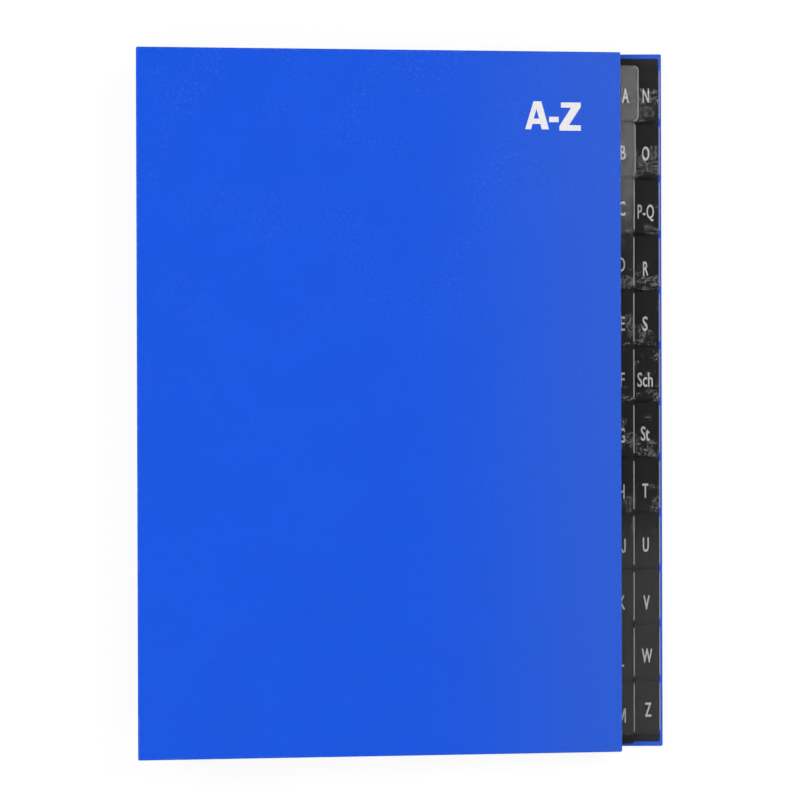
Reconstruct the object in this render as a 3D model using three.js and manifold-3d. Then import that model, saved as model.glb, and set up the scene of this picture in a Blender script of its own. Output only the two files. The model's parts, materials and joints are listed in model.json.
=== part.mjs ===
// An A to Z desk file, closed and lying on its rear cover: two covered boards, a pleated
// cloth spine, and twenty-four card dividers whose index tabs are sheathed in clear film.
// Millimetres, +Z up, spine towards -X, head towards +Y, origin under the middle of the file.
import * as THREE from "three";
import { mergeVertices } from "three/addons/utils/BufferGeometryUtils.js";
import Module from "manifold-3d";

// Covers: covered boards of one height, the rear one wider so that it carries the tabs
const coverHeight = 340;
const rearCoverWidth = 254;
const frontCoverWidth = 234;
const boardThickness = 2.2;
const boardCornerRadius = 0.8;
const boardEdgeRounding = 0.45;
const frontCoverSlip = 0.8; // the front cover hangs this much nearer the tail than the rear one

// Paper linings inside the covers, with the covering's turn-in showing round them
const liningThickness = 0.15;
const liningMarginEnds = 2.3;
const liningMarginFore = 1.5;

// Cloth: the pleated spine and the two strips that hinge the covers to it
const clothThickness = 0.3;
const hingeStripWidth = 14;
const pleatDepth = 9;
const pleatGap = 0.5;
const spineSetBack = 0.6; // the pleats stop this far inside the covers' spine edges
const spineEndMargin = 1.5; // and this far inside their head and tail

// Dividers, in two columns of tabs, the first on the upper half of the stack
const indexNames = [
  ["A", "B", "C", "D", "E", "F", "G", "H", "I-J", "K", "L", "M"],
  ["N", "O", "P-Q", "R", "S", "Sch", "St", "T", "U", "V", "W", "Z"],
];
const cardThickness = 0.3;
const cardEndMargin = 2.5; // the cards stop this far inside the covers' head and tail
const tabEndMargin = 4; // the tab rows share out the card's height, less this at each end
const tabReach = 12.2; // how far the tabs stand out of their cards
const tabCornerRadius = 2;
const cardCornerRadius = 1.5;
const rearCoverOverhang = 2; // the rear cover's board reaches this much past the last tabs
const topCardSlip = 2.2; // the top card has slid out this far, and the next ones less
const slipFade = 0.9;

// Film sheaths, each a pocket over one tab
const filmThickness = 0.05;
const filmSeal = 0.9;
const filmRowGap = 0.1;

// Clearances
const ridgeClearance = 0.04; // between a card and the cloth round its bound edge
const filmClearance = 0.02; // between a tab and its film
const glueLine = 0.05; // between a board and what is glued to it
const leafGap = 0.05; // between one tab's film and the next card, at the first column's tab ends
const restGap = 0.2; // between the lowest film and the rear lining
const turnGap = 0.3; // between parts that lie at different slopes

const colours = {
  covering: 0x215be7,
  lining: 0x303033,
  cloth: 0x1d4fc8,
  card: 0x161618,
  film: 0xc8ccd2,
};
const finish = (name, color, roughness, extra = {}) =>
  new THREE.MeshStandardMaterial({ name, color, roughness, metalness: 0, ...extra });
const materials = {
  covering: finish("cover_paper", colours.covering, 0.5),
  lining: finish("lining_paper", colours.lining, 0.9),
  cloth: finish("spine_cloth", colours.cloth, 0.85),
  card: finish("divider_card", colours.card, 0.6),
  film: finish("tab_film", colours.film, 0.15, { transparent: true, opacity: 0.3 }),
};

const cardCount = indexNames.flat().length;
const tabRows = indexNames[0].length;
const cardHeight = coverHeight - 2 * cardEndMargin;
const tabHeight = (cardHeight - 2 * tabEndMargin) / tabRows;

// Heights through the closed file
const sheathThickness = cardThickness + 2 * (filmClearance + filmThickness);
const ridgeThickness = cardThickness + 2 * (ridgeClearance + clothThickness);
const spinePitch = ridgeThickness + pleatGap;
const forePitch = (cardThickness + sheathThickness) / 2 + leafGap;
const rearInner = boardThickness;
const stripTop = rearInner + glueLine + clothThickness;
const lowestSpineHeight = stripTop + turnGap + ridgeThickness / 2;
const lowestForeHeight =
  rearInner + glueLine + liningThickness + restGap + sheathThickness / 2;

// Places across the file
const spineX = -rearCoverWidth / 2;
const foreX = rearCoverWidth / 2;
const bindingX = spineX + spineSetBack;
const secondTabX = foreX - rearCoverOverhang;
const firstTabX = secondTabX - tabReach - filmSeal; // its film ends where the second's tabs begin
const tabX = [firstTabX, secondTabX];
const fanEndX = tabX[0] + filmSeal;
const rearMiddleY = frontCoverSlip / 2;
const frontMiddleY = -frontCoverSlip / 2;

// A card's slope and place: level counts up from the lowest card
function fan(order) {
  const level = cardCount - 1 - order;
  const spineHeight = lowestSpineHeight + level * spinePitch;
  const foreHeight = lowestForeHeight + level * forePitch;
  const slope = Math.atan2(spineHeight - foreHeight, fanEndX - bindingX);
  return { spineHeight, slope };
}

// The front cover lies on the top card: its hinge is over the top pleat
const top = fan(0);
const frontHingeHeight =
  top.spineHeight + ridgeThickness / 2 + turnGap + clothThickness + glueLine;
const frontForeX = spineX + frontCoverWidth;
const frontForeHeight =
  top.spineHeight -
  (frontForeX - bindingX) * Math.tan(top.slope) +
  sheathThickness / 2 +
  turnGap +
  liningThickness +
  glueLine;
const frontSlope = Math.asin((frontHingeHeight - frontForeHeight) / frontCoverWidth);

const file = new THREE.Group();
const frontCover = new THREE.Group();
frontCover.position.set(spineX, frontMiddleY, frontHingeHeight);
frontCover.rotation.y = frontSlope;
file.add(frontCover);

function add(name, geometry, material, parent = file) {
  const mesh = new THREE.Mesh(geometry, material);
  mesh.name = name;
  parent.add(mesh);
  return mesh;
}

// A closed outline through the given corners, each rounded to its own radius
function roundedShape(corners, arcSteps = 3) {
  const shape = new THREE.Shape();
  corners.forEach(([x, y, radius = 0], i) => {
    const before = corners[(i + corners.length - 1) % corners.length];
    const after = corners[(i + 1) % corners.length];
    const corner = new THREE.Vector2(x, y);
    const back = new THREE.Vector2(before[0] - x, before[1] - y).normalize();
    const on = new THREE.Vector2(after[0] - x, after[1] - y).normalize();
    const steps = radius > 0 ? arcSteps : 0;
    for (let step = 0; step <= steps; step += 1) {
      const point = corner.clone();
      if (steps) {
        const turn = (step / steps) * (Math.PI / 2);
        point.addScaledVector(back, radius * (1 - Math.sin(turn)));
        point.addScaledVector(on, radius * (1 - Math.cos(turn)));
      }
      if (i === 0 && step === 0) shape.moveTo(point.x, point.y);
      else shape.lineTo(point.x, point.y);
    }
  });
  return shape;
}

const rectangle = (x0, x1, y0, y1, radius) =>
  roundedShape([
    [x0, y0, radius],
    [x1, y0, radius],
    [x1, y1, radius],
    [x0, y1, radius],
  ]);

const plate = (shape, thickness) =>
  new THREE.ExtrudeGeometry(shape, { depth: thickness, bevelEnabled: false });

// A board covered all round, from its inner face at z = 0 upwards
function board(width) {
  const shape = rectangle(0, width, -coverHeight / 2, coverHeight / 2, boardCornerRadius);
  const geometry = new THREE.ExtrudeGeometry(shape, {
    depth: boardThickness - 2 * boardEdgeRounding,
    bevelThickness: boardEdgeRounding,
    bevelSize: boardEdgeRounding,
    bevelOffset: -boardEdgeRounding,
    bevelSegments: 2,
  });
  return geometry.translate(0, 0, boardEdgeRounding);
}

function lining(width) {
  const reach = coverHeight / 2 - liningMarginEnds;
  const start = hingeStripWidth + turnGap;
  const end = width - liningMarginFore;
  return plate(rectangle(start, end, -reach, reach, boardCornerRadius), liningThickness);
}

function hingeStrip() {
  const reach = coverHeight / 2 - spineEndMargin;
  const shape = rectangle(spineSetBack, hingeStripWidth, -reach, reach, 0);
  return plate(shape, clothThickness);
}

add("front_cover", board(frontCoverWidth), materials.covering, frontCover);
add("rear_cover", board(rearCoverWidth), materials.covering).position.set(
  spineX,
  rearMiddleY,
  0,
);
add("front_lining", lining(frontCoverWidth), materials.lining, frontCover).position.z =
  -glueLine - liningThickness;
add("rear_lining", lining(rearCoverWidth), materials.lining).position.set(
  spineX,
  rearMiddleY,
  rearInner + glueLine,
);
add("front_hinge_strip", hingeStrip(), materials.cloth, frontCover).position.z =
  -glueLine - clothThickness;
add("rear_hinge_strip", hingeStrip(), materials.cloth).position.set(
  spineX,
  rearMiddleY,
  rearInner + glueLine,
);

// The pleated spine: the cloth's middle line goes round the bound edge of each card, then
// in to the bottom of the pleat below it, and the wall is offset to both sides of that line
function pleatLine() {
  const arcSteps = 4;
  const ridgeRadius = (ridgeThickness - clothThickness) / 2;
  const line = [];
  let lastWallEnd = null;
  for (let order = 0; order < cardCount; order += 1) {
    const { spineHeight, slope } = fan(order);
    const along = new THREE.Vector2(Math.cos(slope), -Math.sin(slope));
    const up = new THREE.Vector2(Math.sin(slope), Math.cos(slope));
    const origin = new THREE.Vector2(bindingX, spineHeight);
    const at = (u, w) => origin.clone().addScaledVector(along, u).addScaledVector(up, w);
    const wallStart = at(pleatDepth, ridgeRadius);
    if (lastWallEnd) {
      const middle = lastWallEnd.clone().add(wallStart).multiplyScalar(0.5);
      const arm = lastWallEnd.clone().sub(middle);
      const inward = new THREE.Vector2(arm.y, -arm.x);
      for (let step = 1; step < arcSteps; step += 1) {
        const turn = (step / arcSteps) * Math.PI;
        line.push(
          middle
            .clone()
            .addScaledVector(arm, Math.cos(turn))
            .addScaledVector(inward, Math.sin(turn)),
        );
      }
    }
    line.push(wallStart);
    const ridgeCentre = clothThickness / 2 + ridgeRadius;
    for (let step = 0; step <= arcSteps; step += 1) {
      const turn = (step / arcSteps) * Math.PI;
      line.push(
        at(ridgeCentre - ridgeRadius * Math.sin(turn), ridgeRadius * Math.cos(turn)),
      );
    }
    lastWallEnd = at(pleatDepth, -ridgeRadius);
    line.push(lastWallEnd);
  }
  return line;
}

function offsetLine(line, distance) {
  return line.map((point, i) => {
    const before = line[Math.max(i - 1, 0)];
    const after = line[Math.min(i + 1, line.length - 1)];
    const into = point.clone().sub(before);
    const out = after.clone().sub(point);
    const first = (into.length() ? into : out).clone().normalize();
    const second = (out.length() ? out : into).clone().normalize();
    const normal = new THREE.Vector2(-first.y - second.y, first.x + second.x).normalize();
    const spread = normal.dot(new THREE.Vector2(-first.y, first.x));
    return point.clone().addScaledVector(normal, distance / spread);
  });
}

function pleatedSpine() {
  const line = pleatLine();
  const outer = offsetLine(line, -clothThickness / 2);
  const inner = offsetLine(line, clothThickness / 2).reverse();
  const shape = new THREE.Shape([...outer, ...inner]);
  const length = coverHeight - 2 * spineEndMargin;
  return plate(shape, length)
    .rotateX(Math.PI / 2)
    .translate(0, length / 2, 0);
}
add("spine_bellows", pleatedSpine(), materials.cloth);

// Cards and films
const wasm = await Module();
wasm.setup();

function solidOf(geometry) {
  const bare = geometry.clone();
  bare.deleteAttribute("normal");
  bare.deleteAttribute("uv");
  const merged = mergeVertices(bare, 1e-4);
  return new wasm.Manifold(
    new wasm.Mesh({
      numProp: 3,
      vertProperties: merged.attributes.position.array,
      triVerts: new Uint32Array(merged.index.array),
    }),
  );
}

function geometryOf(solid) {
  const { numProp, vertProperties, triVerts } = solid.getMesh();
  const positions = new Float32Array((vertProperties.length / numProp) * 3);
  for (let v = 0; v < vertProperties.length / numProp; v += 1)
    positions.set(vertProperties.subarray(v * numProp, v * numProp + 3), v * 3);
  const geometry = new THREE.BufferGeometry();
  geometry.setAttribute("position", new THREE.BufferAttribute(positions, 3));
  geometry.setIndex(new THREE.BufferAttribute(new Uint32Array(triVerts), 1));
  const faceted = geometry.toNonIndexed();
  faceted.computeVertexNormals();
  return faceted;
}

// The card's place along its own slope: its fore edge is flush with its column's others
function dividerPlace(order) {
  const column = order < tabRows ? 0 : 1;
  const row = order - column * tabRows;
  const { spineHeight, slope } = fan(order);
  const slip = topCardSlip * Math.exp(-order / slipFade);
  const tabEnd = (tabX[column] + slip - bindingX) / Math.cos(slope);
  const tabRoot = tabEnd - tabReach;
  const boundEdge = tabRoot - bodyLength[column];
  const tabTop = (tabRows / 2 - row) * tabHeight;
  return { column, spineHeight, slope, tabEnd, tabRoot, boundEdge, tabTop };
}

// Cards of one column are cut alike. The steepest card needs the most length to stay flush,
// so the lowest one sets the length, and its bound edge seats at the bottom of its ridge.
const ridgeSeat = clothThickness + ridgeClearance + turnGap;
const bodyLength = tabX.map((end, column) => {
  const lowest = (column + 1) * tabRows - 1;
  return (end - bindingX) / Math.cos(fan(lowest).slope) - tabReach - ridgeSeat;
});

function dividerCard(place) {
  const half = cardHeight / 2;
  const tabBottom = place.tabTop - tabHeight;
  const inset = filmSeal;
  const corners = [
    [place.boundEdge, -half],
    [place.tabRoot, -half, cardCornerRadius],
    [place.tabRoot, tabBottom + inset],
    [place.tabEnd, tabBottom + inset, tabCornerRadius],
    [place.tabEnd, place.tabTop - inset, tabCornerRadius],
    [place.tabRoot, place.tabTop - inset],
    [place.tabRoot, half, cardCornerRadius],
    [place.boundEdge, half],
  ];
  return plate(roundedShape(corners), cardThickness).translate(0, 0, -cardThickness / 2);
}

// A film sheath: a plate over the tab with a pocket for it, open towards the card
function tabFilm(place) {
  const start = place.tabRoot + filmClearance;
  const y0 = place.tabTop - tabHeight + filmRowGap / 2;
  const y1 = place.tabTop - filmRowGap / 2;
  const outerRadius = tabCornerRadius + filmSeal / 2;
  const end = place.tabEnd + filmSeal;
  const sheath = plate(
    roundedShape([
      [start, y0],
      [end, y0, outerRadius],
      [end, y1, outerRadius],
      [start, y1],
    ]),
    sheathThickness,
  ).translate(0, 0, -sheathThickness / 2);
  const pocketDepth = place.tabEnd + filmClearance;
  const spare = tabReach / 2;
  const pocketY0 = place.tabTop - tabHeight + filmSeal - filmClearance;
  const pocketY1 = place.tabTop - filmSeal + filmClearance;
  const pocketThickness = cardThickness + 2 * filmClearance;
  const pocket = plate(
    roundedShape([
      [start - spare, pocketY0],
      [pocketDepth, pocketY0, tabCornerRadius],
      [pocketDepth, pocketY1, tabCornerRadius],
      [start - spare, pocketY1],
    ]),
    pocketThickness,
  ).translate(0, 0, -pocketThickness / 2);
  return geometryOf(solidOf(sheath).subtract(solidOf(pocket)));
}

indexNames.flat().forEach((index, order) => {
  const place = dividerPlace(order);
  const leaf = new THREE.Group();
  leaf.position.set(bindingX, 0, place.spineHeight);
  leaf.rotation.y = place.slope;
  file.add(leaf);
  add(`divider_${index}`, dividerCard(place), materials.card, leaf);
  add(`tab_film_${index}`, tabFilm(place), materials.film, leaf);
});

export default file;
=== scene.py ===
"""Looks for the A to Z desk file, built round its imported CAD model.

Every size is in metres, in the CAD model's own frame: Z up, spine towards -X, head
towards +Y. The file lies closed on its rear cover.
"""

import json
import math

import bmesh
import bpy
from mathutils import Matrix, Vector, noise


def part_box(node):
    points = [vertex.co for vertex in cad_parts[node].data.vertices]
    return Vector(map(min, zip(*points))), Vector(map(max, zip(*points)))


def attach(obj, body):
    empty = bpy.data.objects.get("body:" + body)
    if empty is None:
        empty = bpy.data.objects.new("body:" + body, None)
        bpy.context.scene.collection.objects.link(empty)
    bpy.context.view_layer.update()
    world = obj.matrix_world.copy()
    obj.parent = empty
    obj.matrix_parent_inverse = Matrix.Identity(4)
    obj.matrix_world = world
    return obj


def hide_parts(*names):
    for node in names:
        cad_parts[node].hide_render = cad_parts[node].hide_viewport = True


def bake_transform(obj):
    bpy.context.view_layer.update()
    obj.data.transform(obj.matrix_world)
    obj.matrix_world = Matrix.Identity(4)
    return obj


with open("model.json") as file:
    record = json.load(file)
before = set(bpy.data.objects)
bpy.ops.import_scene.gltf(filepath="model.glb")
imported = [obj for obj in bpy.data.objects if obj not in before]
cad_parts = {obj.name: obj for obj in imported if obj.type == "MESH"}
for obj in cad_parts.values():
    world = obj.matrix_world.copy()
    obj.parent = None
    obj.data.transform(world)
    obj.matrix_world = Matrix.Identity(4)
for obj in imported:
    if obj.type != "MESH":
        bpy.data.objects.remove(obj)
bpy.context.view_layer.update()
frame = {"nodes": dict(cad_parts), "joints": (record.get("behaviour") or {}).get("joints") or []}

bl_info = {
    "name": "A to Z desk file",
    "version": (1, 0, 0),
    "blender": (4, 5, 0),
    "location": "3D View > Sidebar > Desk File",
    "description": "Dresses the CAD model of an alphabetical desk file",
    "category": "Object",
}

MM = 0.001
UP = Vector((0, 0, 1))
ALONG_Y = Vector((0, 1, 0))

# Index letters, in two columns of tabs, first card to last
INDEX = [
    ["A", "B", "C", "D", "E", "F", "G", "H", "I-J", "K", "L", "M"],
    ["N", "O", "P-Q", "R", "S", "Sch", "St", "T", "U", "V", "W", "Z"],
]
CARD_NAMES = [name for column in INDEX for name in column]
TAB_ROWS = len(INDEX[0])
CARDS = len(CARD_NAMES)

REAR_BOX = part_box("rear_cover")
FRONT_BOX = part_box("front_cover")
SPINE_X = REAR_BOX[0].x
REAR_MIDDLE_Y = (REAR_BOX[0].y + REAR_BOX[1].y) / 2
FRONT_MIDDLE_Y = (FRONT_BOX[0].y + FRONT_BOX[1].y) / 2
JOINT_PLACE = {j["name"]: Vector(j["pos_m"]) for j in frame["joints"]}


def from_screen(red, green, blue):
    """A screen colour, 0 to 255 a channel, as the linear colour that shaders use."""

    def linear(value):
        share = value / 255
        if share <= 0.04045:
            return share / 12.92
        return ((share + 0.055) / 1.055) ** 2.4

    return (linear(red), linear(green), linear(blue))


# Settings that a user would change


def length(name, description, default):
    return bpy.props.FloatProperty(
        name=name, description=description, default=default, unit="LENGTH", precision=5
    )


def colour(name, description, default):
    return bpy.props.FloatVectorProperty(
        name=name,
        description=description,
        default=default,
        subtype="COLOR",
        size=3,
        min=0,
        max=1,
    )


def power(name, description, default):
    return bpy.props.FloatProperty(
        name=name, description=description, default=default, unit="POWER"
    )


def share(name, description, default):
    return bpy.props.FloatProperty(
        name=name, description=description, default=default, subtype="FACTOR", min=0, max=1
    )


class CoverSettings(bpy.types.PropertyGroup):
    """Sizes and finish of the covered boards and their linings."""

    height: length("Height", "Head to tail", REAR_BOX[1].y - REAR_BOX[0].y)
    rear_width: length("Rear width", "Spine to fore edge", REAR_BOX[1].x - REAR_BOX[0].x)
    front_width: length("Front width", "Spine to fore edge", 234 * MM)
    thickness: length("Thickness", "Board and its covering", REAR_BOX[1].z - REAR_BOX[0].z)
    corner_radius: length("Corner radius", "Rounding of the boards' corners", 0.8 * MM)
    edge_rounding: length("Edge rounding", "Rounding of the boards' edges", 0.5 * MM)
    turn_in: length("Turn-in", "Covering folded over the inner face", 15 * MM)
    turn_in_step: length("Turn-in step", "Height of the covering's cut edge", 0.1 * MM)
    grain: length("Grain", "Size of the leather grain", 1.25 * MM)
    covering: colour("Covering", "Covering paper", from_screen(6, 85, 230))
    lining: colour("Lining", "Lining paper", from_screen(43, 42, 46))
    print: colour("Print", "Lettering on the front cover", from_screen(244, 243, 245))


class SpineSettings(bpy.types.PropertyGroup):
    """Sizes and finish of the pleated cloth spine and the cloth hinges."""

    pleat_depth: length("Pleat depth", "How far the pleats reach in", 9 * MM)
    cloth_thickness: length("Cloth thickness", "Thickness of the spine cloth", 0.3 * MM)
    strip_width: length("Hinge strip", "Cloth glued to each cover", 14 * MM)
    end_margin: length("End margin", "Cloth stops this far inside the covers", 1.5 * MM)
    thread: length("Thread", "Pitch of the weave", 0.42 * MM)
    cloth: colour("Cloth", "Spine cloth", from_screen(29, 79, 200))


class DividerSettings(bpy.types.PropertyGroup):
    """Sizes and finish of the card dividers, their tab films and index letters."""

    tab_height: length("Tab pitch", "From one tab row to the next", 27.25 * MM)
    tab_reach: length("Tab reach", "How far the tabs stand out", 12.2 * MM)
    card_thickness: length("Card", "Thickness of the card", 0.3 * MM)
    film_thickness: length("Film", "Thickness of the laminating film", 0.05 * MM)
    seal_width: length("Seal", "Film sealed to itself past the card", 0.9 * MM)
    letter_height: length("Letter height", "Height of the index letters", 6.95 * MM)
    card: colour("Card", "Divider card", from_screen(21, 21, 23))
    ink: colour("Ink", "Index letters", from_screen(242, 242, 244))
    seal: colour("Seal", "Sealed rim of the film", from_screen(188, 190, 194))
    film_haze: share("Film haze", "How much each face of the film hides", 0.14)


class StageSettings(bpy.types.PropertyGroup):
    """Camera and light."""

    lens: bpy.props.FloatProperty(
        name="Lens", description="Focal length of the camera", default=108.95, unit="CAMERA"
    )
    key_power: power("Key light", "Soft light at the head", 12.3)
    fill_power: power("Fill light", "Soft light at the tail", 9.5)
    side_power: power("Side light", "Soft light at the spine", 17)
    ambient: share("Ambient light", "Strength of the light from all round", 0.22)


# The middle of each card's index letters, in millimetres from the end of its tab and from
# the upper edge of its row. They aren't printed quite in line.
LETTER_INWARD = [
    [5.66, 5.54, 5.4, 5.44, 5.2, 5.2, 5.4, 5.5, 5.5, 5.5, 5.6, 5.5],
    [6.03, 6.16, 6.2, 6.37, 6.55, 6.48, 6.61, 6.49, 6.28, 5.97, 5.75, 5.19],
]
LETTER_DROP = [
    [14.7, 15.1, 15.1, 15.1, 16.6, 16.7, 16.7, 16.8, 16.0, 16.6, 17.3, 17.5],
    [14.0, 15.1, 16.2, 16.8, 16.5, 16.7, 15.9, 16.6, 15.9, 17.1, 16.0, 15.3],
]
# The letters' width as a share of the font's own, on most cards and on some
LETTER_WIDTH = 0.48
WIDE_LETTERS = {"S": 0.62, "Sch": 0.58, "St": 0.56, "B": 0.54, "E": 0.56, "F": 0.56}
# Letters drawn here, in shares of their height from the middle of their foot, because the
# font's own M closes up when it is narrowed and its J hangs below the line
DRAWN_LETTERS = {
    "M": [
        [(-0.28, 0), (-0.28, 1), (-0.155, 1), (0, 0.4), (0.155, 1), (0.28, 1), (0.28, 0)]
        + [(0.185, 0), (0.185, 0.7), (0.045, 0.16)]
        + [(-0.045, 0.16), (-0.185, 0.7), (-0.185, 0)]
    ],
    "I-J": [
        [(-0.38, 0), (-0.38, 0.98), (-0.28, 0.98), (-0.28, 0)],
        [(-0.22, 0.26), (-0.22, 0.39), (-0.05, 0.39), (-0.05, 0.26)],
        [(0.18, 0.98), (0.282, 0.98), (0.282, 0.24), (0.26, 0.1), (0.205, 0.01)]
        + [(0.12, -0.02), (0.05, 0.02), (0, 0.12), (-0.02, 0.24)]
        + [(0.07, 0.27), (0.085, 0.16), (0.125, 0.1), (0.165, 0.15), (0.18, 0.26)],
    ],
}
# How high the font's capitals are, as a share of its size
FONT_CAPITAL = 0.684
# How far each side of a stroke moves out once the letters are narrowed
STROKE_GROWTH = 0.1 * MM
INK_THICKNESS = 0.01 * MM
PRINT_THICKNESS = 0.03 * MM


# Where each card lies. Card 0 is the top one


BINDING_X = SPINE_X + 0.6 * MM
# The height of the lowest card, and from one card to the next, at the spine and where the
# fan ends at the fore edge
LOWEST_SPINE, SPINE_PITCH = 3.34 * MM, 1.48 * MM
LOWEST_FORE, FORE_PITCH = 2.82 * MM, 0.42 * MM
FAN_END_X = 112.8 * MM
# The ends of the two columns of tabs, and how far the top card has slid out past them
TAB_END_X = [111.9 * MM, 125 * MM]
TOP_CARD_SLIP = 2.2 * MM
RIDGE_HALF = 0.49 * MM


def leaf_matrix(order):
    """The frame of one card: X runs along the card from its bound edge, Z out of it."""
    level = CARDS - 1 - order
    spine_height = LOWEST_SPINE + level * SPINE_PITCH
    fore_height = LOWEST_FORE + level * FORE_PITCH
    slope = math.atan2(spine_height - fore_height, FAN_END_X - BINDING_X)
    place = Matrix.Translation((BINDING_X, 0, spine_height))
    return place @ Matrix.Rotation(slope, 4, "Y"), slope


def tab_place(order, settings):
    """Where a card's tab lies in the card's own frame: root, end, lower and upper edge."""
    column, row = divmod(order, TAB_ROWS)
    _, slope = leaf_matrix(order)
    slip = TOP_CARD_SLIP * math.exp(-order / 0.9)
    end = (TAB_END_X[column] + slip - BINDING_X) / math.cos(slope)
    top = (TAB_ROWS / 2 - row) * settings.tab_height
    return end - settings.tab_reach, end, top - settings.tab_height, top


# From the spine down to the fore edge, where the stack of cards is thinner
FRONT_SLOPE = math.radians(6.0632)
FRONT_MATRIX = Matrix.Translation(
    (SPINE_X, FRONT_MIDDLE_Y, JOINT_PLACE["front_cover_hinge"].z)
) @ Matrix.Rotation(FRONT_SLOPE, 4, "Y")
# The rear cover's inner face is up, so its own frame is turned over
REAR_MATRIX = Matrix.Translation(
    (SPINE_X, REAR_MIDDLE_Y, JOINT_PLACE["rear_cover_hinge"].z)
) @ Matrix.Rotation(math.pi, 4, "X")
COVER_PLACES = {"front": FRONT_MATRIX, "rear": REAR_MATRIX}


# Making pieces


def link_object(name, data):
    """A new object with the given data, linked to the scene."""
    made = bpy.data.objects.new(name, data)
    bpy.context.scene.collection.objects.link(made)
    return made


def new_piece(name, bm, materials, smooth_below=40):
    """A finished piece from a bmesh, its object at the origin."""
    mesh = bpy.data.meshes.new(name)
    bm.to_mesh(mesh)
    bm.free()
    for material in materials:
        mesh.materials.append(material)
    mesh.polygons.foreach_set("use_smooth", [True] * len(mesh.polygons))
    mesh.set_sharp_from_angle(angle=math.radians(smooth_below))
    return link_object(name, mesh)


def box_mesh(low, high):
    """A bmesh box between two corners."""
    bm = bmesh.new()
    bmesh.ops.create_cube(bm, size=1)
    low, high = Vector(low), Vector(high)
    bmesh.ops.scale(bm, vec=high - low, verts=bm.verts)
    bmesh.ops.translate(bm, vec=(low + high) / 2, verts=bm.verts)
    return bm


def verts_of(parts):
    """The vertices among mixed parts of a bmesh, such as an operator returns."""
    return [part for part in parts if isinstance(part, bmesh.types.BMVert)]


def round_edges(bm, edges, radius, segments):
    bmesh.ops.bevel(
        bm,
        geom=edges,
        offset=radius,
        offset_type="OFFSET",
        segments=segments,
        profile=0.5,
        affect="EDGES",
        material=-1,
    )


def upright_edges(bm):
    """Edges that run along Z."""
    found = []
    for edge in bm.edges:
        run = edge.verts[1].co - edge.verts[0].co
        if abs(run.z) > 0.99 * run.length:
            found.append(edge)
    return found


def flat_face(bm, direction):
    """The largest face that looks the given way."""
    facing = [f for f in bm.faces if f.normal.dot(Vector(direction)) > 0.99]
    return max(facing, key=lambda f: f.calc_area())


def inset(bm, face, width):
    """Insets a face, which keeps its identity as the inner one, and returns the ring."""
    return bmesh.ops.inset_region(
        bm, faces=[face], thickness=width, use_boundary=True, use_even_offset=True
    )["faces"]


def inset_square(bm, direction, width):
    """Insets the largest face that looks the given way. Its corners become square,
    because an inset wider than their radius would fold them over."""
    face = flat_face(bm, direction)
    inset(bm, face, width)
    bmesh.ops.remove_doubles(bm, verts=face.verts, dist=2 * width)
    return flat_face(bm, direction)


# Materials


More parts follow.
